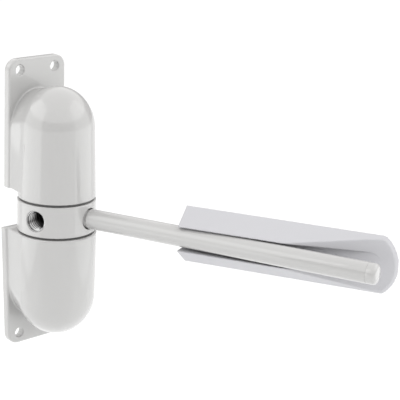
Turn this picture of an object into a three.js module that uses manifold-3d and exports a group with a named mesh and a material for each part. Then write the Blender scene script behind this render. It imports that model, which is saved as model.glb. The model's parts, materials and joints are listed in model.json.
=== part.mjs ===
// Spring door closer: two domed spring casings with back plates, a turning ring
// between them, an arm rod screwed into the ring and a slide guide for the door.
// Millimetres. Z is up along the ring's axis, the front faces -Y, and the wall
// that the plates are screwed to is the plane y = 0. z = 0 is the ring's middle.
import * as THREE from "three";
import { mergeVertices } from "three/addons/utils/BufferGeometryUtils.js";
import Module from "manifold-3d";

// ---- driving sizes -------------------------------------------------------
const axis_to_wall = 20.3; // ring axis to the wall plane
const ring_radius = 19.6;
const ring_height = 15.8;
// The lower casing is a little fuller than the upper one, and its plate flares
// more towards the ring. Heights count away from the ring's middle.
const upper_shape = {
  rim_radius: 19.45, // barrel at the ring
  draft: 0.95, // how much narrower the barrel is where its dome begins
  dome_start: 43,
  dome_height: 21,
  web_start: 40, // side walls, where they meet the plate
  web_apex: 60.3,
  plate_near: 11.8,
  plate_end: 76,
  plate_half_width: 17.3, // at the far end
  plate_flare: 0.4, // how much wider each side is at the near end
};
const lower_shape = {
  rim_radius: 20.1,
  draft: 0.4,
  dome_start: 42.4,
  dome_height: 20.7,
  web_start: 37,
  web_apex: 58,
  plate_near: 9,
  plate_end: 72.2,
  plate_half_width: 17.3,
  plate_flare: 2.2,
};
const bore_radius = 15.4;
const plate_thickness = 4.2;
const plate_corner = 6;
const plate_edge = 1; // chamfer round the plate's front edge
const screw_spacing = 21.3;
const screw_inset = 5.6; // from the plate's end to the screw holes
const screw_hole_radius = 2.5;
const rod_radius = 5;
const rod_reach = 170.5; // ring axis to the end of the rounded tip
const arm_azimuth = 18.7; // degrees from the front towards +X, at rest
const guide_azimuth = 23.6;
const guide_length = 105.5;
const guide_half_height = 14.2;
const guide_end_radius = 18;
const guide_depth = 11;
const guide_floor = 1.6; // thickness of the guide's back
const guide_start = 69.9; // ring axis to the guide's open end, along the rod
const guide_drop = 0.35; // guide's middle below the rod's axis
const front_slope_start = 51; // where the guide's front begins to fall away
const front_slope_end = 96; // and where it has come down to the end's depth
const front_end_depth = 2; // depth of the guide at its closed end
const slot_end = 96; // open end to the slot's round end
const pin_radius = 2.5;
const pin_reach = 10.2; // ring axis to the inner end of an anchor pin
const wire_radius = 1.6;
const coil_radius = 10.9;
const coil_turns = 5;
const anchor_base = 40;
const anchor_height = 7;
const bush_height = 6;
const bush_neck_height = 5; // the narrower part that the coil turns round
const spindle_radius = 5;
const hex_radius = 7; // corner radius of the spindle's hexagon
const hex_overrun = 2; // the hexagon's length past each bush's shoulder
const circlip_radius = 7.4;
const circlip_thickness = 1.2;
const clip_groove_depth = 0.9;
const tap_radius = 4.8; // the ring's tapped holes
const tap_floor = 9.6; // ring axis to the bottom of a tapped hole
const tap_chamfer = 0.9; // depth of the chamfered mouth
const ring_chamfer = 0.5;
const tip_length = 5; // the arm's end cap
const tip_edge = 2.2; // rounding of its end
const stem_radius = 2.6; // the tip's stem inside the rod
const stem_length = 7;
const leg_length = 3; // spring wire held in the bush and in the anchor
const guide_screw_radius = 2.1;
const guide_screw_head = 4.2;
const guide_screw_places = [20, 78]; // from the guide's open end

// ---- clearances ----------------------------------------------------------
const clearance = 0.3; // between pieces that touch
const washer_thickness = 0.4;
const washer_recess = 1.2; // ring's rim to the washer's
const thread_clearance = 0.4;
const slot_clearance = 1.5; // rod to each side of the guide's slot
const blind_gap = 0.4; // rod's end to the bottom of its tapped hole
const overshoot = 1; // how far a cutting tool runs past the face it opens

// ---- fits worked out from the sizes above --------------------------------
const ring_face = ring_height / 2;
const casing_face = ring_face + washer_thickness + 2 * clearance;
const bush_base = ring_face + clearance;
const bush_top = bush_base + bush_height;
const bush_radius = bore_radius - 1;
const bush_neck_radius = coil_radius - wire_radius - 2 * clearance;
const coil_base = bush_top + clearance + wire_radius;
const coil_top = anchor_base - clearance - wire_radius;
const anchor_top = anchor_base + anchor_height;
const anchor_turn = (coil_turns % 1) * 360; // where the spring's still end comes
const circlip_base = anchor_top + clearance;
const circlip_top = circlip_base + circlip_thickness;
const clip_groove_radius = spindle_radius - clip_groove_depth;
const spindle_end = circlip_top + 2;
const bore_end = spindle_end + 2;
const hex_top = bush_top + hex_overrun;
const rod_root = ring_radius + clearance;
const tip_base = rod_reach - tip_length;
const pin_hole_radius = pin_radius + clearance;
const pin_height = (anchor_base + anchor_top) / 2;
const pin_recess = 2 * clearance; // wall plane to the pin's outer end

const radians = THREE.MathUtils.degToRad;
const wasm = await Module();
wasm.setup();

// ---- helpers -------------------------------------------------------------
function toSolid(geometry) {
  const bare = geometry.clone();
  bare.deleteAttribute("normal");
  bare.deleteAttribute("uv");
  const merged = mergeVertices(bare, 1e-3);
  return new wasm.Manifold(
    new wasm.Mesh({
      numProp: 3,
      vertProperties: new Float32Array(merged.attributes.position.array),
      triVerts: new Uint32Array(merged.index.array),
    }),
  );
}

function toGeometry(solid) {
  const mesh = solid.getMesh();
  return new THREE.BufferGeometry()
    .setAttribute("position", new THREE.BufferAttribute(mesh.vertProperties, 3))
    .setIndex(new THREE.BufferAttribute(mesh.triVerts, 1));
}

// A solid turned about Z from [radius, z] pairs that start and end on the axis.
function turned(profile, segments = 40) {
  const points = profile.map(([r, z]) => new THREE.Vector2(r, z));
  return new THREE.LatheGeometry(points, segments).rotateX(Math.PI / 2);
}

// A closed collar about Z: a square-edged ring with a round or six-sided bore.
function collar(outer, inner, base, top, segments = 40) {
  const body = toSolid(turned([[0, base], [outer, base], [outer, top], [0, top]], segments));
  return body.subtract(toSolid(rodAlongZ(inner, base - 1, top + 1, segments)));
}

function rodAlongZ(radius, base, top, segments = 32) {
  return turned([[0, base], [radius, base], [radius, top], [0, top]], segments);
}

// A hexagonal bar about Z.
function hexAlongZ(radius, base, top) {
  return rodAlongZ(radius, base, top, 6);
}

// A solid skinned over outlines with the same number of points, with flat ends.
function skinned(outlines) {
  const count = outlines[0].length;
  const positions = outlines.flat(2);
  const index = [];
  for (let row = 0; row + 1 < outlines.length; row++)
    for (let i = 0; i < count; i++) {
      const a = row * count + i;
      const b = row * count + ((i + 1) % count);
      index.push(a, b, b + count, a, b + count, a + count);
    }
  const last = (outlines.length - 1) * count;
  for (let i = 1; i + 1 < count; i++) {
    index.push(0, i + 1, i);
    index.push(last, last + i, last + i + 1);
  }
  return new THREE.BufferGeometry()
    .setAttribute("position", new THREE.Float32BufferAttribute(positions, 3))
    .setIndex(index);
}

// Turns a solid made along +Z to lie along -Y, then round Z to an azimuth.
function layAlong(geometry, azimuth) {
  return geometry.rotateX(Math.PI / 2).rotateZ(radians(azimuth));
}

// The direction, seen from above, of something that points along an azimuth.
function ahead(azimuth) {
  return new THREE.Vector2(Math.sin(radians(azimuth)), -Math.cos(radians(azimuth)));
}

// Moves a geometry made about the origin to the ring's axis.
function ontoAxis(geometry) {
  return geometry.translate(0, -axis_to_wall, 0);
}

// ---- casing --------------------------------------------------------------
// Half of the barrel's outline from the ring up to the dome's top.
function barrelProfile(shape) {
  const steps = 10;
  const profile = [[0, casing_face], [shape.rim_radius, casing_face]];
  for (let i = 0; i < steps; i++) {
    const angle = (i / steps) * (Math.PI / 2);
    const radius = (shape.rim_radius - shape.draft) * Math.cos(angle);
    profile.push([radius, shape.dome_start + shape.dome_height * Math.sin(angle)]);
  }
  profile.push([0, shape.dome_start + shape.dome_height]);
  return profile;
}

// Outline of the side walls in a plane of constant y, counted from above +X.
function webOutline(y, half_width, base, start, apex) {
  const steps = 20;
  const outline = [[half_width, y, base]];
  for (let i = 0; i <= steps; i++) {
    const angle = (i / steps) * Math.PI;
    const z = start + (apex - start) * Math.sin(angle);
    outline.push([half_width * Math.cos(angle), y, z]);
  }
  outline.push([-half_width, y, base]);
  return outline;
}

function plateOutline(shape, y, inset) {
  const far = shape.plate_half_width - inset;
  const near = far + shape.plate_flare;
  const end = shape.plate_end - inset;
  const corner = plate_corner - inset;
  const steps = 8;
  const outline = [[near, y, shape.plate_near]];
  for (const side of [1, -1])
    for (let i = 0; i <= steps; i++) {
      const angle = ((side > 0 ? i : steps - i) / steps) * (Math.PI / 2);
      const x = side * (far - corner + corner * Math.cos(angle));
      outline.push([x, y, end - corner + corner * Math.sin(angle)]);
    }
  outline.push([-near, y, shape.plate_near]);
  return outline;
}

// A casing standing above the ring, in the wall's frame.
function casing(shape) {
  const plate = toSolid(
    skinned([
      plateOutline(shape, 0, 0),
      plateOutline(shape, plate_edge - plate_thickness, 0),
      plateOutline(shape, -plate_thickness, plate_edge),
    ]),
  );
  const foot = shape.plate_half_width - 0.6; // side walls just inside the plate's edge
  const side = shape.rim_radius - shape.draft - 0.1; // and just inside the barrel
  const side_apex = shape.dome_start + shape.dome_height - 0.5;
  const web = toSolid(
    skinned([
      webOutline(plate_edge - plate_thickness, foot, shape.plate_near, shape.web_start, shape.web_apex),
      webOutline(-axis_to_wall, side, shape.plate_near, shape.dome_start, side_apex),
    ]),
  );
  const barrel = toSolid(ontoAxis(turned(barrelProfile(shape), 56)));
  const bore = toSolid(
    ontoAxis(
      turned([
        [0, casing_face - overshoot],
        [bore_radius, casing_face - overshoot],
        [bore_radius, anchor_top + 1],
        [bore_radius - 4, bore_end],
        [0, bore_end],
      ]),
    ),
  );
  let body = barrel.add(web).add(plate).subtract(bore);
  for (const x of [-screw_spacing / 2, screw_spacing / 2]) {
    const hole = layAlong(rodAlongZ(screw_hole_radius, -overshoot, plate_thickness + overshoot), 0);
    hole.translate(x, 0, shape.plate_end - screw_inset);
    body = body.subtract(toSolid(hole));
  }
  const pin_hole_end = axis_to_wall - bore_radius + overshoot;
  const pin_hole = layAlong(rodAlongZ(pin_hole_radius, -overshoot, pin_hole_end, 24), 0);
  pin_hole.translate(0, 0, pin_height);
  return toGeometry(body.subtract(toSolid(pin_hole)));
}

// ---- what is inside a casing ---------------------------------------------
function springLeg(radius, base, top) {
  return rodAlongZ(radius, base, top, 16).translate(coil_radius, 0, 0);
}

function upperAnchor() {
  const leg_hole_radius = wire_radius + clearance;
  const leg_hole = springLeg(leg_hole_radius, anchor_base - overshoot, anchor_base + leg_length + 1);
  const pin_hole = layAlong(rodAlongZ(pin_hole_radius, pin_reach - 1, bore_radius + overshoot, 24), 180);
  pin_hole.translate(0, 0, pin_height);
  return collar(bore_radius - clearance, spindle_radius + clearance, anchor_base, anchor_top)
    .subtract(toSolid(leg_hole.rotateZ(radians(anchor_turn))))
    .subtract(toSolid(pin_hole));
}

function upperBush() {
  const neck_top = bush_top + bush_neck_height;
  const body = toSolid(
    turned([
      [0, bush_base],
      [bush_radius, bush_base],
      [bush_radius, bush_top],
      [bush_neck_radius, bush_top],
      [bush_neck_radius, neck_top],
      [0, neck_top],
    ]),
  );
  const hex_hole = hexAlongZ(hex_radius + clearance, bush_base - overshoot, hex_top + clearance);
  const bore = rodAlongZ(spindle_radius + clearance, bush_base, neck_top + overshoot);
  const leg_base = bush_top - leg_length - 1;
  const leg_hole = springLeg(wire_radius + clearance, leg_base, bush_top + overshoot);
  return body.subtract(toSolid(hex_hole)).subtract(toSolid(bore)).subtract(toSolid(leg_hole));
}

// A coil between bush and anchor, with a straight leg into each.
class SpringPath extends THREE.Curve {
  getPoint(t, target = new THREE.Vector3()) {
    const turn = t * coil_turns * 2 * Math.PI;
    return target.set(
      coil_radius * Math.cos(turn),
      coil_radius * Math.sin(turn),
      coil_base + (coil_top - coil_base) * t,
    );
  }
}

function upperSpring() {
  const sides = 6;
  const wire = new THREE.Shape();
  for (let i = 0; i < sides; i++) {
    const angle = ((i + 0.5) / sides) * 2 * Math.PI;
    const x = wire_radius * Math.cos(angle);
    const y = wire_radius * Math.sin(angle);
    if (i === 0) wire.moveTo(x, y);
    else wire.lineTo(x, y);
  }
  wire.closePath();
  const coil = new THREE.ExtrudeGeometry(wire, {
    steps: coil_turns * 16,
    extrudePath: new SpringPath(),
    bevelEnabled: false,
  });
  const leg_radius = wire_radius * 0.92; // its corners stay inside the coil's wire
  const lower_leg = springLeg(leg_radius, bush_top - leg_length, coil_base + 0.4);
  const upper_leg = springLeg(leg_radius, coil_top - 0.4, anchor_base + leg_length);
  return toSolid(coil)
    .add(toSolid(lower_leg))
    .add(toSolid(upper_leg.rotateZ(radians(anchor_turn))));
}

function upperCirclip() {
  const ring = collar(circlip_radius, clip_groove_radius + clearance, circlip_base, circlip_top);
  const mouth = new THREE.BoxGeometry(spindle_radius, 2 * circlip_radius, circlip_thickness + 2);
  mouth.translate(0, circlip_radius, (circlip_base + circlip_top) / 2);
  return ring.subtract(toSolid(mouth));
}

function upperWasher() {
  const outer = ring_radius - washer_recess;
  return collar(outer, bore_radius + clearance, ring_face + clearance, casing_face - clearance);
}

function upperAnchorPin() {
  const length = axis_to_wall - pin_reach;
  const profile = [
    [0, pin_recess],
    [pin_radius, pin_recess],
    [pin_radius, length - 0.5],
    [pin_radius - 0.5, length],
    [0, length],
  ];
  return layAlong(turned(profile, 24), 0).translate(0, 0, pin_height);
}

// ---- ring, spindle and arm -----------------------------------------------
function turningRing() {
  const body = turned(
    [
      [0, -ring_face],
      [ring_radius - ring_chamfer, -ring_face],
      [ring_radius, -ring_face + ring_chamfer],
      [ring_radius, ring_face - ring_chamfer],
      [ring_radius - ring_chamfer, ring_face],
      [0, ring_face],
    ],
    64,
  );
  const hex_hole = hexAlongZ(hex_radius + clearance, -ring_face - overshoot, ring_face + overshoot);
  let ring = toSolid(body).subtract(toSolid(hex_hole));
  for (let quarter = 0; quarter < 4; quarter++) {
    const drill = turned(
      [
        [0, tap_floor],
        [tap_radius, tap_floor],
        [tap_radius, ring_radius - tap_chamfer],
        [tap_radius + tap_chamfer + overshoot, ring_radius + overshoot],
        [0, ring_radius + overshoot],
      ],
      28,
    );
    ring = ring.subtract(toSolid(layAlong(drill, arm_azimuth + quarter * 90)));
  }
  return ring;
}

function spindle() {
  let bar = toSolid(rodAlongZ(spindle_radius, -spindle_end, spindle_end));
  bar = bar.add(toSolid(hexAlongZ(hex_radius, -hex_top, hex_top)));
  for (const side of [-1, 1]) {
    const near = side * (circlip_base - clearance);
    const far = side * (circlip_top + clearance);
    const outer = spindle_radius + overshoot;
    const groove = collar(outer, clip_groove_radius, Math.min(near, far), Math.max(near, far));
    bar = bar.subtract(groove);
  }
  return bar;
}

function armRod() {
  const stub = tap_radius - thread_clearance;
  const stub_end = tap_floor + blind_gap;
  const socket_end = tip_base - stem_length - 1;
  const rod = turned([
    [0, stub_end],
    [stub - 0.6, stub_end],
    [stub, stub_end + 0.6],
    [stub, rod_root],
    [rod_radius - 0.7, rod_root],
    [rod_radius, rod_root + 0.7],
    [rod_radius, tip_base - clearance],
    [stem_radius + clearance, tip_base - clearance],
    [stem_radius + clearance, socket_end],
    [0, socket_end],
  ], 32);
  return layAlong(rod, arm_azimuth);
}

function armTip() {
  const profile = [
    [0, tip_base - stem_length],
    [stem_radius, tip_base - stem_length],
    [stem_radius, tip_base],
    [rod_radius, tip_base],
  ];
  const steps = 6;
  for (let i = 0; i <= steps; i++) {
    const angle = (i / steps) * (Math.PI / 2);
    profile.push([
      rod_radius - tip_edge + tip_edge * Math.cos(angle),
      rod_reach - tip_edge + tip_edge * Math.sin(angle),
    ]);
  }
  profile.push([0, rod_reach]);
  return layAlong(turned(profile, 32), arm_azimuth);
}

// ---- guide ---------------------------------------------------------------
// Made with its open end at x = 0, its length along +X and its back at y = 0.
function guideOutline(y, inset) {
  const steps = 16;
  const half = guide_half_height - inset;
  const radius = guide_end_radius - inset;
  const centre = guide_length - guide_end_radius;
  const reach = Math.asin(half / radius);
  const outline = [[0, y, half], [0, y, -half]];
  for (let i = 0; i <= steps; i++) {
    const angle = reach * ((2 * i) / steps - 1);
    outline.push([centre + radius * Math.cos(angle), y, radius * Math.sin(angle)]);
  }
  return outline;
}

function armGuide() {
  const lip = rod_radius + slot_clearance; // half the slot's width
  const land = 0.25; // flat edge left beside the slot
  const block = toSolid(
    skinned([guideOutline(0, 0), guideOutline(-guide_depth, guide_half_height - lip - land)]),
  );
  // everything in front of the sloping front face
  const far = guide_length + overshoot;
  const wedge = new THREE.Shape([
    new THREE.Vector2(front_slope_start, -guide_depth),
    new THREE.Vector2(front_slope_end, -front_end_depth),
    new THREE.Vector2(far, -front_end_depth),
    new THREE.Vector2(far, -guide_depth - overshoot),
    new THREE.Vector2(front_slope_start, -guide_depth - overshoot),
  ]);
  const tall = 2 * (guide_half_height + overshoot);
  const cut = new THREE.ExtrudeGeometry(wedge, { depth: tall, bevelEnabled: false });
  cut.translate(0, 0, -tall / 2);
  const slot_cut = new THREE.Shape();
  slot_cut.moveTo(-overshoot, -lip);
  slot_cut.lineTo(slot_end - lip, -lip);
  slot_cut.absarc(slot_end - lip, 0, lip, -Math.PI / 2, Math.PI / 2, false);
  slot_cut.lineTo(-overshoot, lip);
  const slot = new THREE.ExtrudeGeometry(slot_cut, {
    depth: guide_depth,
    curveSegments: 16,
    bevelEnabled: false,
  });
  slot.rotateX(Math.PI / 2).translate(0, -guide_floor, 0);
  let guide = block.subtract(toSolid(cut)).subtract(toSolid(slot));
  for (const x of guide_screw_places) {
    const countersink = turned(
      [
        [0, -overshoot],
        [guide_screw_radius, -overshoot],
        [guide_screw_radius, clearance],
        [guide_screw_head, guide_floor + overshoot],
        [0, guide_floor + overshoot],
      ],
      32,
    );
    guide = guide.subtract(toSolid(layAlong(countersink, 0).translate(x, 0, 0)));
  }
  const placed = toGeometry(guide);
  const rod = ahead(arm_azimuth);
  const back = ahead(guide_azimuth + 90); // into the door
  const back_offset = guide_floor + clearance + 0.1 + rod_radius;
  placed.rotateZ(radians(guide_azimuth - 90));
  placed.translate(
    rod.x * guide_start + back.x * back_offset,
    rod.y * guide_start + back.y * back_offset - axis_to_wall,
    -guide_drop,
  );
  return placed;
}

// ---- the part ------------------------------------------------------------
const group = new THREE.Group();
group.name = "door_closer";

const paint = { color: 0xf2f2f0, roughness: 0.3, metalness: 0 };
const steel = { color: 0x9a9a98, roughness: 0.4, metalness: 0.9 };
const nylon = { color: 0x1c1c1c, roughness: 0.6, metalness: 0 };
const brass = { color: 0xb9974f, roughness: 0.45, metalness: 0.9 };

function add(name, geometry, look) {
  const flat = geometry.index ? geometry.toNonIndexed() : geometry;
  flat.deleteAttribute("uv");
  flat.computeVertexNormals();
  const mesh = new THREE.Mesh(flat, new THREE.MeshStandardMaterial(look));
  mesh.name = name;
  group.add(mesh);
}

// A geometry made above the ring, mirrored to hang below it. A mirrored spring
// winds the other way, so both springs tighten together when the ring turns.
function below(geometry) {
  const mirrored = (geometry.index ? geometry.toNonIndexed() : geometry.clone()).scale(1, 1, -1);
  const corners = mirrored.attributes.position;
  const a = new THREE.Vector3();
  const b = new THREE.Vector3();
  for (let i = 0; i < corners.count; i += 3) {
    a.fromBufferAttribute(corners, i + 1);
    b.fromBufferAttribute(corners, i + 2);
    corners.setXYZ(i + 1, b.x, b.y, b.z);
    corners.setXYZ(i + 2, a.x, a.y, a.z);
  }
  return mirrored;
}

function addBothHalves(name, geometry, look) {
  add("upper_" + name, geometry.clone(), look);
  add("lower_" + name, below(geometry), look);
}

add("upper_casing", casing(upper_shape), paint);
add("lower_casing", below(casing(lower_shape)), paint);
addBothHalves("anchor", ontoAxis(toGeometry(upperAnchor())), steel);
addBothHalves("anchor_pin", upperAnchorPin(), steel);
addBothHalves("spring", ontoAxis(toGeometry(upperSpring())), steel);
addBothHalves("bush", ontoAxis(toGeometry(upperBush())), brass);
addBothHalves("circlip", ontoAxis(toGeometry(upperCirclip())), steel);
addBothHalves("thrust_washer", ontoAxis(toGeometry(upperWasher())), nylon);
add("turning_ring", ontoAxis(toGeometry(turningRing())), paint);
add("spindle", ontoAxis(toGeometry(spindle())), steel);
add("arm_rod", ontoAxis(armRod()), paint);
add("arm_tip", ontoAxis(armTip()), paint);
add("arm_guide", armGuide(), paint);

export default group;
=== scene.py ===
import json
import math

import bpy
import numpy as np
import openvdb
from mathutils import Euler, Matrix, Vector


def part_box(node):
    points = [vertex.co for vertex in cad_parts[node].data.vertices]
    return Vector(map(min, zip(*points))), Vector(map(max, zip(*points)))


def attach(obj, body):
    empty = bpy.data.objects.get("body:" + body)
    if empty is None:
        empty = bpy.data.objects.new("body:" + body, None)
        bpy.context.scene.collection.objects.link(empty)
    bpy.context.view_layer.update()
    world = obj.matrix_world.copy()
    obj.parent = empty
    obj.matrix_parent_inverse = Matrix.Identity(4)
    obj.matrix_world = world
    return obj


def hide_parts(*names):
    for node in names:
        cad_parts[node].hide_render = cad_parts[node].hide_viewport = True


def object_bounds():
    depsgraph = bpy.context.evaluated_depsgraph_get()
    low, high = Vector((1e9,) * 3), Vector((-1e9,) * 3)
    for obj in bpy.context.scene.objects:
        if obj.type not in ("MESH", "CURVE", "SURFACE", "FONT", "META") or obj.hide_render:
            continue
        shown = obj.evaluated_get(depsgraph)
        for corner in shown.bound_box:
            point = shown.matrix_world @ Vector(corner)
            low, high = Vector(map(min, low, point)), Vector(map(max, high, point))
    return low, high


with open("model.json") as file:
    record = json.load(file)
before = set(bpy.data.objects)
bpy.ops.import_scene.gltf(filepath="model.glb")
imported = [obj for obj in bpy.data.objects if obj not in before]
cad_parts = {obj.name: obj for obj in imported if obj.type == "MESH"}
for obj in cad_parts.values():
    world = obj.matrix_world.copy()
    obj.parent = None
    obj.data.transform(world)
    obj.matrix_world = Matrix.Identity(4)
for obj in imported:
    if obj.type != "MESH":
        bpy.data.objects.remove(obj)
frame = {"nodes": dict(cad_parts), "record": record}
cad_low, cad_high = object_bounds()

MM = 0.001
record = frame["record"]
joints = {joint["name"]: joint for joint in record["behaviour"]["joints"]}
mounts = {mount["name"]: mount for mount in record["mounts"]}


def box_mm(node):
    """A CAD node's lowest and highest corner, in millimetres."""
    low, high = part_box(node)
    return np.array(low) / MM, np.array(high) / MM


# ---- sizes read from the frame, in millimetres ------------------------------
AXIS_Y = joints["ring_turn"]["pos_m"][1] / MM
ROD_AXIS = np.array(joints["guide_slide"]["axis"])
ARM_ANGLE = math.atan2(ROD_AXIS[1], ROD_AXIS[0])
GUIDE_BACK = np.array(mounts["guide_back"]["axis"])

ring_low, ring_high = box_mm("turning_ring")
RING_RADIUS = (ring_high[0] - ring_low[0]) / 2
RING_FACE = ring_high[2]

anchor_low, anchor_high = box_mm("upper_anchor")
PIN_HEIGHT = (anchor_low[2] + anchor_high[2]) / 2
BORE_GAP = 0.3
BORE_RADIUS = anchor_high[0] + BORE_GAP
BORE_END = box_mm("spindle")[1][2] - 1  # the bore stops just short of the spindle's end

# The lower casing is a little fuller than the upper one, and its plate flares
# more towards the ring. Heights count away from the ring's middle.
UPPER = {
    "draft": 0.95,
    "dome_start": 43,
    "dome_height": 21,
    "web_start": 40,
    "web_apex": 60.3,
    "plate_near": 11.8,
    "plate_half_width": 17.3,
    "plate_flare": 0.4,
}
LOWER = {
    "draft": 0.4,
    "dome_start": 42.4,
    "dome_height": 20.7,
    "web_start": 37,
    "web_apex": 58,
    "plate_near": 9,
    "plate_half_width": 17.3,
    "plate_flare": 2.2,
}

# ---- shape details that the frame doesn't hold, in millimetres --------------
PLATE_THICKNESS = 4.2
PLATE_CORNER = 6
PLATE_EDGE = 1.1  # rounding of the plate's front and back edges
WEB_INSET = 0.8
SCREW_SPACING = 21.3
SCREW_INSET = 5.6
SCREW_RADIUS = 2.5
SCREW_CUT = 4  # how far in front of the plate the screw holes start
PIN_HOLE_RADIUS = 2.8
RING_BORE_RADIUS = 7.3
HOLE_RADIUS = 5.3
HOLE_FLOOR = 9.6  # ring axis to the bottom of each of its holes
LINER_FLOOR = HOLE_FLOOR + 0.5
THREAD_PITCH = 1.5
THREAD_MINOR = 4.15
THREAD_DEPTH = 0.85
THREAD_UNSHADED_SHARE = 0.25  # share of the thread's depth, from its crest, that stays free of the painted shade
ROOT_PAINTED_SHADE = 0.03  # what is left of the steel's colour under the painted shade in the thread's roots
DEEP_PAINTED_SHADE = 0.05  # and under the painted shade at the bottom of the hole
DEEP_SHADE_FROM, DEEP_SHADE_TO = 16.5, 12  # ring axis to where the painted shade in the hole starts and where it is darkest
THREAD_SHARPNESS = 1.25  # over 1 gives the thread's roots a flat
LIP_DEPTH = 0.75  # how far the thread's lip sits inside the ring's round face
LIP_SINK = 0.55  # the same at the sides of the hole, where the face falls away
LIP_UNSHADED_FROM, LIP_UNSHADED_TO = 1.1, 0.7  # depths below the ring's face where the painted shade in the roots gives way at the lip
LIP_FADE = 0.8  # where the thread runs out towards the lip
ROD_RADIUS = 5
ROD_CORE = 4.3  # the rod inside the ring
ROD_SHOULDER = 1.1
TIP_EDGE = 2.2
TIP_CROWN = 0.25
SEAM_EDGE = 0.05
GUIDE_HALF_HEIGHT = 14.2
GUIDE_DEPTH = 11
GUIDE_LENGTH = 105.5
GUIDE_FLOOR = 1.6
GUIDE_END_RADIUS = 18
SLOT_HALF = 5.8
SLOPE_START = 51
SLOPE_END = 96
END_DEPTH = 2
SLOT_END = SLOPE_END + 2
SLOT_RISE = 0.4  # the slot's floor ends this far above the guide's end
GUIDE_LIP = 0.2  # flat left between the bevel and the slot
GUIDE_MOUNT_AT = 50  # open end to the mount on the guide's back

# ---- roundings and fillets, in millimetres ----------------------------------
RIM_EDGE = 0.9
RING_EDGE = 0.7
WALL_EDGE = 0.4  # ends of the side walls and plate towards the ring
BARREL_FILLET = 0.5  # barrel to side walls
PLATE_FILLET = 1.2
SCREW_EDGE = 0.6
BORE_EDGE = 1.0
HOLE_EDGE = 0.5
GUIDE_CORNER = 0.8
GUIDE_BRIM_FILLET = 1.5
GUIDE_FRONT_EDGE = 1.0
GUIDE_EDGE = 0.35
GUIDE_BACK_EDGE = 0.3
SLOT_FILLET = 0.8

# ---- how finely the pieces are made -----------------------------------------
CASING_VOXEL, RING_VOXEL, GUIDE_VOXEL = ((0.5, 0.35, 0.5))
PAST = 20  # cuts and hidden ends reach this far past the solid, in millimetres


# ---- distance fields --------------------------------------------------------
def soft_min(a, b, radius):
    """Joins two solids with a fillet of about this radius."""
    h = np.clip(0.5 + 0.5 * (b - a) / radius, 0, 1)
    return b + (a - b) * h - radius * h * (1 - h)


def soft_max(a, b, radius):
    """Keeps what two solids share, with the edge rounded."""
    return -soft_min(-a, -b, radius)


def ellipse(u, v, half_u, half_v):
    """Distance to an ellipse round the origin, near enough close to its edge."""
    k1 = np.sqrt((u / half_u) ** 2 + (v / half_v) ** 2) + 1e-9
    k2 = np.sqrt((u / half_u**2) ** 2 + (v / half_v**2) ** 2) + 1e-9
    return k1 * (k1 - 1) / k2


def dome_outline(across, z, half, start, height):
    """A straight-sided outline with a half-ellipse on top."""
    above = z - start
    side = np.abs(across) - half
    return np.where(above > 0, ellipse(across, np.maximum(above, 0), half, height), side)


def rounded_box(u, v, half_u, half_v, corner):
    """Distance to a rectangle round the origin with rounded corners."""
    du = np.abs(u) - half_u + corner
    dv = np.abs(v) - half_v + corner
    outside = np.hypot(np.maximum(du, 0), np.maximum(dv, 0))
    return outside + np.minimum(np.maximum(du, dv), 0) - corner


def casing_field(shape, low, high):
    """A casing standing above the ring: barrel, side walls, plate and holes."""
    rim, face, wall, end = high[0], low[2], high[1] - AXIS_Y, high[2]
    plate_front = wall - PLATE_THICKNESS
    start, height = shape["dome_start"], shape["dome_height"]
    near = shape["plate_near"]

    def field(p):
        x, y, z = p[:, 0], p[:, 1] - AXIS_Y, p[:, 2]
        radius = rim - shape["draft"] * np.clip((z - face) / (start - face), 0, 1)
        barrel = dome_outline(np.hypot(x, y), z, radius, start, height)
        barrel = soft_max(barrel, face - z, RIM_EDGE)

        flare = shape["plate_flare"] * (end - z) / (end - near)
        plate_half = shape["plate_half_width"] + flare
        foot = plate_half - WEB_INSET
        slant = np.arccos(radius / np.hypot(foot, plate_front))
        turn = math.atan2(plate_front, foot.mean()) - slant
        back = np.clip(y / plate_front, 0, 1)
        half = (radius - y * np.sin(turn)) / np.cos(turn)
        web_start = start + (shape["web_start"] - start) * back
        web_height = height + (shape["web_apex"] - shape["web_start"] - height) * back
        web = dome_outline(x, z, half, web_start, web_height)
        web = np.maximum(web, radius * np.sin(turn) - y)
        web = np.maximum(web, y - plate_front - 1)
        web = soft_max(web, near - z, WALL_EDGE)

        low_end = near - PAST
        middle, reach = (end + low_end) / 2, (end - low_end) / 2
        outline = rounded_box(x, z - middle, plate_half, reach, PLATE_CORNER)
        outline = soft_max(outline, near - z, WALL_EDGE)
        depth = np.abs(y - plate_front - PLATE_THICKNESS / 2) - PLATE_THICKNESS / 2
        plate = soft_max(outline, depth, PLATE_EDGE)

        body = soft_min(barrel, web, BARREL_FILLET)
        body = soft_min(body, plate, PLATE_FILLET)
        for side_x in (-SCREW_SPACING / 2, SCREW_SPACING / 2):
            hole = np.hypot(x - side_x, z - (end - SCREW_INSET)) - SCREW_RADIUS
            hole = np.maximum(hole, plate_front - SCREW_CUT - y)
            body = soft_max(body, -hole, SCREW_EDGE)
        bore = np.maximum(np.hypot(x, y) - BORE_RADIUS, z - BORE_END)
        body = soft_max(body, -bore, BORE_EDGE)
        pin = np.maximum(np.hypot(x, z - PIN_HEIGHT) - PIN_HOLE_RADIUS, -y)
        return np.maximum(body, -pin)

    return field


def ring_field(p):
    """The turning ring with its four holes for the arm."""
    x, y, z = p[:, 0], p[:, 1] - AXIS_Y, p[:, 2]
    ring = soft_max(np.hypot(x, y) - RING_RADIUS, np.abs(z) - RING_FACE, RING_EDGE)
    ring = np.maximum(ring, RING_BORE_RADIUS - np.hypot(x, y))
    for quarter in range(4):
        angle = ARM_ANGLE + quarter * math.pi / 2
        out = x * math.cos(angle) + y * math.sin(angle)
        across = y * math.cos(angle) - x * math.sin(angle)
        hole = np.maximum(np.hypot(across, z) - HOLE_RADIUS, HOLE_FLOOR - out)
        ring = soft_max(ring, -hole, HOLE_EDGE)
    return ring


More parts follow.
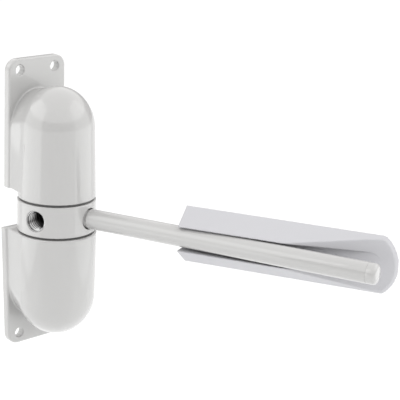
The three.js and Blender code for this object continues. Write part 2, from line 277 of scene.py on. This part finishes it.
def guide_axes():
    """The guide's directions along it and out of its front, and its mount's place."""
    facing = -GUIDE_BACK
    along = np.array([-facing[1], facing[0], 0.0])
    if along @ ROD_AXIS < 0:
        along = -along
    on_back = np.array(mounts["guide_back"]["pos_m"]) / MM
    return along, facing, on_back


GUIDE_ALONG, GUIDE_FACING, GUIDE_ON_BACK = guide_axes()


def guide_field(p):
    """The slide guide: a bevelled bar with a slot, its front falling to the end."""
    local = p - GUIDE_ON_BACK
    s = local @ GUIDE_ALONG + GUIDE_MOUNT_AT
    n = local @ GUIDE_FACING
    z = local[:, 2]
    past_straight = np.maximum(s - GUIDE_LENGTH + GUIDE_END_RADIUS, 0)
    round_end = np.hypot(past_straight, z) - GUIDE_END_RADIUS
    outline = soft_max(np.abs(z) - GUIDE_HALF_HEIGHT, round_end, GUIDE_CORNER)
    lean = (GUIDE_HALF_HEIGHT - SLOT_HALF - GUIDE_LIP) / GUIDE_DEPTH
    bevel = (outline + lean * n) / math.hypot(1, lean)
    fall = (GUIDE_DEPTH - END_DEPTH) / (SLOPE_END - SLOPE_START)
    slope = (n - GUIDE_DEPTH + fall * (s - SLOPE_START)) / math.hypot(1, fall)
    slope = soft_min(slope, n - END_DEPTH, GUIDE_BRIM_FILLET)
    front = soft_max(n - GUIDE_DEPTH, slope, GUIDE_FRONT_EDGE)
    bar = soft_max(bevel, front, GUIDE_EDGE)
    bar = soft_max(bar, -s, GUIDE_BACK_EDGE)
    bar = soft_max(bar, -n, GUIDE_BACK_EDGE)
    slot_middle, slot_reach = SLOT_END / 2 - PAST, SLOT_END / 2 + PAST
    slot = rounded_box(s - slot_middle, z, slot_reach, SLOT_HALF, SLOT_HALF)
    rise = np.clip((s - SLOPE_START) / (SLOT_END - SLOPE_START), 0, 1)
    slot_floor = GUIDE_FLOOR + (END_DEPTH + SLOT_RISE - GUIDE_FLOOR) * rise
    slot = soft_max(slot, slot_floor - n, SLOT_FILLET)
    return soft_max(bar, -slot, GUIDE_EDGE)


# ---- mesh making ------------------------------------------------------------
def gradient(field, points, step=0.02):
    slopes = np.empty_like(points)
    for axis in range(3):
        nudge = np.zeros(3)
        nudge[axis] = step
        slopes[:, axis] = (field(points + nudge) - field(points - nudge)) / (2 * step)
    return slopes


def new_object(name, points_mm, faces, normals=None):
    mesh = bpy.data.meshes.new(name)
    mesh.from_pydata((np.asarray(points_mm) * MM).tolist(), [], faces)
    mesh.validate()
    mesh.shade_smooth()
    if normals is not None:
        mesh.normals_split_custom_set_from_vertices(normals.tolist())
    piece = bpy.data.objects.new(name, mesh)
    bpy.context.scene.collection.objects.link(piece)
    return piece


def sculpt(field, low, high, voxel):
    """Points, quads and normals of a field's zero surface inside a box."""
    low = np.asarray(low, float) - 3 * voxel
    counts = np.ceil((np.asarray(high, float) + 3 * voxel - low) / voxel).astype(int) + 1
    ticks = [low[axis] + voxel * np.arange(counts[axis]) for axis in range(3)]
    values = np.empty(counts, np.float32)
    ys, zs = np.meshgrid(ticks[1], ticks[2], indexing="ij")
    for i, x in enumerate(ticks[0]):
        layer = np.stack([np.full(ys.size, x), ys.ravel(), zs.ravel()], axis=1)
        values[i] = field(layer).reshape(ys.shape)
    values = np.clip(values, -3 * voxel, 3 * voxel)
    grid = openvdb.FloatGrid(3 * voxel)
    grid.copyFromArray(values)
    points, quads = grid.convertToQuads(0.0)
    points = points * voxel + low
    for _ in range(4):
        slopes = gradient(field, points)
        size = np.maximum((slopes**2).sum(axis=1), 0.2)
        move = field(points) / size
        points = points - slopes * np.clip(move, -0.4 * voxel, 0.4 * voxel)[:, None]
    slopes = gradient(field, points)
    normals = slopes / np.maximum(np.linalg.norm(slopes, axis=1), 1e-6)[:, None]
    first = points[quads[:, 0]]
    turn = np.cross(points[quads[:, 1]] - first, points[quads[:, 2]] - first)
    if (turn * normals[quads[:, 0]]).sum() < 0:
        quads = quads[:, ::-1]
    return points, quads, normals


def tube_faces(rows, segments):
    """Faces of rings of points joined in turn, with both ends closed."""
    faces = []
    for row in range(rows - 1):
        for i in range(segments):
            j = (i + 1) % segments
            a, b = row * segments, (row + 1) * segments
            faces.append((a + i, a + j, b + j, b + i))
    faces.append(tuple(range(segments))[::-1])
    last = (rows - 1) * segments
    faces.append(tuple(range(last, last + segments)))
    return faces


def lathe(name, profile, direction, segments=96):
    """Turns (radius, distance) pairs round a line from the ring's axis."""
    direction = Vector(direction).normalized()
    turn = direction.to_track_quat("Z", "Y").to_matrix()
    points = []
    for radius, along in profile:
        for i in range(segments):
            angle = 2 * math.pi * i / segments
            spot = turn @ Vector((radius * math.cos(angle), radius * math.sin(angle), along))
            points.append((spot.x, spot.y + AXIS_Y, spot.z))
    return new_object(name, points, tube_faces(len(profile), segments))


def arc(centre_radius, centre_along, radius, start, stop, steps):
    """Profile points on an arc, angles in degrees from straight outwards."""
    spots = []
    for i in range(steps + 1):
        angle = math.radians(start + (stop - start) * i / steps)
        spots.append((centre_radius + radius * math.cos(angle), centre_along + radius * math.sin(angle)))
    return spots


# ---- materials --------------------------------------------------------------
ROUGH_SPREAD = 0.05
CLOUD_SCALE = 45
NOISE_RANGE = (0.3, 0.7)  # most of a noise texture's values
BUMP_HEIGHT = 0.0004


def material(name, base, roughness, metallic=0.0, coat=0.0, spread=0.02, bump=0.02, scale=900):
    """A shader with fine noise in colour, roughness and height."""
    made = bpy.data.materials.new(name)
    made.use_nodes = True
    nodes, links = made.node_tree.nodes, made.node_tree.links
    shader = nodes["Principled BSDF"]
    shader.inputs["Metallic"].default_value = metallic
    shader.inputs["Coat Weight"].default_value = coat
    shader.inputs["Coat Roughness"].default_value = 0.06
    shader.inputs["Coat IOR"].default_value = 1.65
    place = nodes.new("ShaderNodeTexCoord")
    cloud = nodes.new("ShaderNodeTexNoise")
    cloud.inputs["Scale"].default_value = CLOUD_SCALE
    cloud.inputs["Detail"].default_value = 4
    grain = nodes.new("ShaderNodeTexNoise")
    grain.inputs["Scale"].default_value = scale
    grain.inputs["Detail"].default_value = 3
    links.new(place.outputs["Object"], cloud.inputs["Vector"])
    links.new(place.outputs["Object"], grain.inputs["Vector"])
    tint = nodes.new("ShaderNodeValToRGB")
    darker, lighter = tint.color_ramp.elements
    darker.position, lighter.position = NOISE_RANGE
    darker.color = (*[c * (1 - spread) for c in base], 1)
    lighter.color = (*[min(1, c * (1 + spread)) for c in base], 1)
    links.new(cloud.outputs["Fac"], tint.inputs["Fac"])
    links.new(tint.outputs["Color"], shader.inputs["Base Color"])
    shine = nodes.new("ShaderNodeMapRange")
    shine.inputs["From Min"].default_value, shine.inputs["From Max"].default_value = NOISE_RANGE
    shine.inputs["To Min"].default_value = roughness - ROUGH_SPREAD
    shine.inputs["To Max"].default_value = roughness + ROUGH_SPREAD
    links.new(cloud.outputs["Fac"], shine.inputs["Value"])
    links.new(shine.outputs["Result"], shader.inputs["Roughness"])
    height = nodes.new("ShaderNodeBump")
    height.inputs["Strength"].default_value = bump
    height.inputs["Distance"].default_value = BUMP_HEIGHT
    links.new(grain.outputs["Fac"], height.inputs["Height"])
    links.new(height.outputs["Normal"], shader.inputs["Normal"])
    return made


ENAMEL = material("white_enamel", (0.41, 0.407, 0.403), 0.35, coat=1.0, spread=0.006, scale=260)
COOL_ENAMEL = material("guide_enamel", (0.472, 0.471, 0.492), 0.5, spread=0.006, scale=260)
DARK = material("dark_plastic", (0.13, 0.13, 0.13), 0.5, spread=0.2, bump=0.1)
STEEL = material("oiled_steel", (0.42, 0.42, 0.41), 0.38, metallic=1, spread=0.15, bump=0.2)
BRASS = material("bearing_brass", (0.62, 0.47, 0.22), 0.35, metallic=1, spread=0.1, bump=0.15)
LOOKS = {"white_paint": ENAMEL, "black_nylon": DARK, "steel": STEEL, "brass": BRASS}

for part in record["subparts"]:
    for holder in frame["nodes"][part["node"]].material_slots:
        holder.material = LOOKS.get(part["material_slot"], STEEL)


def mapped(look, source, start, stop, least):
    """A node that turns a distance in mm from start to stop into a share from least to 1."""
    share = look.node_tree.nodes.new("ShaderNodeMapRange")
    share.inputs["From Min"].default_value = start * MM
    share.inputs["From Max"].default_value = stop * MM
    share.inputs["To Min"].default_value = least
    look.node_tree.links.new(source, share.inputs["Value"])
    return share.outputs["Result"]


def dim(look, share):
    """Multiplies a look's colour by a share from another node."""
    nodes, links = look.node_tree.nodes, look.node_tree.links
    base = nodes["Principled BSDF"].inputs["Base Color"]
    shade = nodes.new("ShaderNodeVectorMath")
    shade.operation = "SCALE"
    links.new(base.links[0].from_socket, shade.inputs[0])
    links.new(share, shade.inputs["Scale"])
    links.new(shade.outputs["Vector"], base)


def after_step(look, vector, operation, other):
    """A vector after one step of vector maths, and its length."""
    nodes, links = look.node_tree.nodes, look.node_tree.links
    step = nodes.new("ShaderNodeVectorMath")
    step.operation = operation
    step.inputs[1].default_value = other
    away = nodes.new("ShaderNodeVectorMath")
    away.operation = "LENGTH"
    links.new(vector, step.inputs[0])
    links.new(step.outputs["Vector"], away.inputs[0])
    return step.outputs["Vector"], away.outputs["Value"]


def thread_steel_painted_shade(name, angle):
    """Bare steel for a tapped hole, with painted shade deep down and in the thread's roots that lifts
    again at its lip.
    """
    look = material(name, (0.55, 0.55, 0.55), 0.2, metallic=1, spread=0.12, bump=0.1)
    place = look.node_tree.nodes.new("ShaderNodeTexCoord")
    centred, out = after_step(look, place.outputs["Object"], "SUBTRACT", (0, AXIS_Y * MM, 0))
    _, from_hole = after_step(look, centred, "CROSS_PRODUCT", (math.cos(angle), math.sin(angle), 0))
    root_radius, unshaded_radius = THREAD_MINOR + THREAD_DEPTH, THREAD_MINOR + THREAD_UNSHADED_SHARE * THREAD_DEPTH
    # painted shade in the thread's roots, lifted again near the lip
    root_painted_shade = mapped(look, from_hole, root_radius, unshaded_radius, ROOT_PAINTED_SHADE)
    lip = mapped(look, out, RING_RADIUS - LIP_UNSHADED_FROM, RING_RADIUS - LIP_UNSHADED_TO, 0)
    lighter = look.node_tree.nodes.new("ShaderNodeMath")
    lighter.operation = "MAXIMUM"
    look.node_tree.links.new(root_painted_shade, lighter.inputs[0])
    look.node_tree.links.new(lip, lighter.inputs[1])
    dim(look, lighter.outputs["Value"])
    # painted shade getting darker towards the bottom of the hole
    dim(look, mapped(look, out, DEEP_SHADE_TO, DEEP_SHADE_FROM, DEEP_PAINTED_SHADE))
    return look


def dress(piece, look, body, slot, *nodes):
    """Gives a piece its material and body, and hides the nodes it stands for."""
    piece.data.materials.clear()
    piece.data.materials.append(look)
    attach(piece, body)
    if nodes:
        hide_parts(*nodes)


# ---- casings ----------------------------------------------------------------
def cast(name, node, shape, side):
    """A casing made standing above the ring, or its like turned to hang below."""
    flip = np.array([1, 1, side])
    corners = np.array(box_mm(node)) * flip
    low, high = corners.min(axis=0), corners.max(axis=0)
    points, quads, normals = sculpt(casing_field(shape, low, high), low, high, CASING_VOXEL)
    piece = new_object(name, points * flip, quads[:, ::side].tolist(), normals * flip)
    dress(piece, ENAMEL, "body", "white_paint", node)


cast("upper_casing_cast", "upper_casing", UPPER, 1)
cast("lower_casing_cast", "lower_casing", LOWER, -1)

# ---- ring -------------------------------------------------------------------
points, quads, normals = sculpt(ring_field, ring_low, ring_high, RING_VOXEL)
ring = new_object("turning_ring_turned", points, quads.tolist(), normals)
dress(ring, ENAMEL, "turning_arm", "white_paint", "turning_ring")


def thread_liner(name, angle):
    """Bare threads in one tapped hole, with the drill's cone at the bottom."""
    segments, per_turn = 64, 10
    mouth = RING_RADIUS - LIP_DEPTH
    rows = int((mouth - LINER_FLOOR) / THREAD_PITCH * per_turn)
    outer = HOLE_RADIUS - 0.05
    lip_inner = outer - 0.12
    points = []

    def spot(radius, turn, out):
        across, z = radius * math.cos(turn), radius * math.sin(turn)
        x = out * math.cos(angle) - across * math.sin(angle)
        y = out * math.sin(angle) + across * math.cos(angle)
        points.append((x, y + AXIS_Y, z))

    def rim_out(across_radius, turn, out):
        """Brings the liner's mouth back to just inside the ring's round face."""
        across = across_radius * math.cos(turn)
        return min(out, math.sqrt(RING_RADIUS**2 - across**2) - LIP_SINK)

    def thread_radius(turn_share, out):
        """The thread's own radius, which opens out to the lip near the mouth."""
        phase = (out / THREAD_PITCH - turn_share) % 1
        groove = min(1, THREAD_SHARPNESS * (1 - abs(2 * phase - 1)))
        cut = THREAD_MINOR + THREAD_DEPTH * groove
        fade = min(1, (mouth - out) / LIP_FADE)
        return cut * fade + max(cut, lip_inner) * (1 - fade)

    rings = [(outer, LINER_FLOOR - 0.3), (outer, mouth)]
    for row in range(rows, -1, -1):
        rings.append((None, LINER_FLOOR + (mouth - LINER_FLOOR) * row / rows))
    rings.append((THREAD_MINOR * 0.5, LINER_FLOOR - 0.1))
    rings.append((0.02, LINER_FLOOR - 0.2))
    for radius, out in rings:
        for i in range(segments):
            turn = 2 * math.pi * i / segments
            at = thread_radius(i / segments, out) if radius is None else radius
            spot(at, turn, rim_out(at, turn, out))
    faces = tube_faces(len(rings), segments)
    liner = new_object(name, points, faces)
    dress(liner, thread_steel_painted_shade(name + "_steel", angle), "turning_arm", "steel")
    return liner


for quarter in (1, 2, 3):
    thread_liner(f"tapped_thread_{quarter}", ARM_ANGLE + quarter * math.pi / 2)

# ---- arm rod and tip --------------------------------------------------------
# The tip's lowest y is on its rounded edge, so its end is worked back from there.
tip_low = box_mm("arm_tip")[0][1] + TIP_EDGE + (ROD_RADIUS - TIP_EDGE) * ROD_AXIS[0]
TIP_END = TIP_EDGE + (tip_low - AXIS_Y) / ROD_AXIS[1]
SEAM = TIP_END - ROD_RADIUS
ROOT = RING_RADIUS + 0.15
SEAM_CORE = 3.6  # radius of the rod's end face inside the seam
TIP_CORE = 3.4
ROOT_DEPTH = 0.6  # how far the rod's shoulder goes into the ring's hole
SHOULDER_AT = ROD_RADIUS - ROD_SHOULDER
SEAM_AT = ROD_RADIUS - SEAM_EDGE
ROD_STEPS = 12

rod_profile = [(ROD_CORE, LINER_FLOOR), (ROD_CORE, ROOT - ROOT_DEPTH), (SHOULDER_AT, ROOT - ROOT_DEPTH)]
rod_profile += arc(SHOULDER_AT, ROOT - ROOT_DEPTH + ROD_SHOULDER, ROD_SHOULDER, -90, 0, 8)
for step in range(ROD_STEPS):
    rod_profile.append((ROD_RADIUS, ROOT + 1.5 + (SEAM - ROOT - 2) * step / ROD_STEPS))
rod_profile += arc(SEAM_AT, SEAM - 2 * SEAM_EDGE, SEAM_EDGE, 0, 90, 4) + [(SEAM_CORE, SEAM - SEAM_EDGE)]
rod = lathe("arm_rod_bar", rod_profile, ROD_AXIS)
dress(rod, ENAMEL, "turning_arm", "white_paint", "arm_rod")

tip_profile = [(TIP_CORE, SEAM), (SEAM_AT, SEAM)]
tip_profile += arc(SEAM_AT, SEAM + SEAM_EDGE, SEAM_EDGE, -90, 0, 4)
tip_profile += arc(ROD_RADIUS - TIP_EDGE, TIP_END - TIP_CROWN - TIP_EDGE, TIP_EDGE, 0, 80, 12)
tip_profile += [(0.05, TIP_END)]
tip = lathe("arm_tip_cap", tip_profile, ROD_AXIS)
dress(tip, ENAMEL, "turning_arm", "white_paint", "arm_tip")

# ---- guide ------------------------------------------------------------------
guide_low, guide_high = box_mm("arm_guide")
points, quads, normals = sculpt(guide_field, guide_low, guide_high, GUIDE_VOXEL)
guide = new_object("arm_guide_moulded", points, quads.tolist(), normals)
dress(guide, COOL_ENAMEL, "guide", "white_paint", "arm_guide")

# ---- stage, light and camera ------------------------------------------------
scene = bpy.context.scene
floor_mesh = bpy.data.meshes.new("studio_floor")
edge, drop = 12.0, cad_low[2] - 0.35
corners = [(-edge, -edge, drop), (edge, -edge, drop), (edge, edge, drop), (-edge, edge, drop)]
floor_mesh.from_pydata(corners, [], [(0, 1, 2, 3)])
floor = bpy.data.objects.new("studio_floor", floor_mesh)
scene.collection.objects.link(floor)
floor.data.materials.append(material("pale_floor", (0.865, 0.87, 0.872), 0.9, spread=0.005, bump=0.0))

world = bpy.data.worlds.new("studio")
world.use_nodes = True
world.node_tree.nodes["Background"].inputs["Color"].default_value = (1, 0.98, 0.972, 1)
world.node_tree.nodes["Background"].inputs["Strength"].default_value = 0.45
scene.world = world
scene.view_settings.view_transform = "Standard"


def softbox(name, azimuth, distance, width, low, high, power, mirrored=True):
    """An upright soft light that faces the ring, seen in gloss or not."""
    a = math.radians(azimuth)
    away = Vector((math.sin(a), -math.cos(a), 0))
    lamp = bpy.data.lights.new(name, "AREA")
    lamp.shape = "RECTANGLE"
    lamp.size, lamp.size_y = width, high - low
    lamp.energy = power
    lamp.color = (0.985, 1, 0.99)
    holder = bpy.data.objects.new(name, lamp)
    holder.location = away * distance + Vector((0, 0, (low + high) / 2))
    holder.rotation_euler = away.to_track_quat("Z", "Y").to_euler()
    holder.visible_glossy = mirrored
    scene.collection.objects.link(holder)


softbox("left_light", -122, 1.0, 1.42, -0.4, 1.4, 7.4)
softbox("right_light", 48, 1.0, 1.25, -0.4, 1.4, 4.6)
softbox("front_light", 0, 1.2, 0.8, 0, 0.8, 3.5, mirrored=False)

overhead = bpy.data.objects.new("overhead_light", bpy.data.lights.new("overhead_light", "SUN"))
overhead.data.energy = 2.35
overhead.data.angle = math.radians(140)
scene.collection.objects.link(overhead)

camera = bpy.data.objects.new("camera", bpy.data.cameras.new("camera"))
scene.collection.objects.link(camera)
scene.camera = camera
CAMERA_AZIMUTH, CAMERA_ELEVATION, CAMERA_ROLL = -44.84, 16.185, 2.33
CAMERA_DISTANCE, AIM_RIGHT, AIM_UP = 0.6942, 0.07131, 0.00901
camera.data.sensor_width = 36
camera.data.lens = 125.1
a, e = math.radians(CAMERA_AZIMUTH), math.radians(CAMERA_ELEVATION)
back = Vector((math.sin(a) * math.cos(e), -math.cos(a) * math.cos(e), math.sin(e)))
right = Vector((math.cos(a), math.sin(a), 0))
up = back.cross(right)
ring_centre = Vector((0, AXIS_Y * MM, 0))
camera.location = ring_centre + back * CAMERA_DISTANCE + right * AIM_RIGHT + up * AIM_UP
level = Matrix((right, up, back)).transposed()
camera.rotation_euler = (level @ Euler((0, 0, math.radians(CAMERA_ROLL))).to_matrix()).to_euler()
camera.data.clip_start = 0.01
camera.data.clip_end = 50
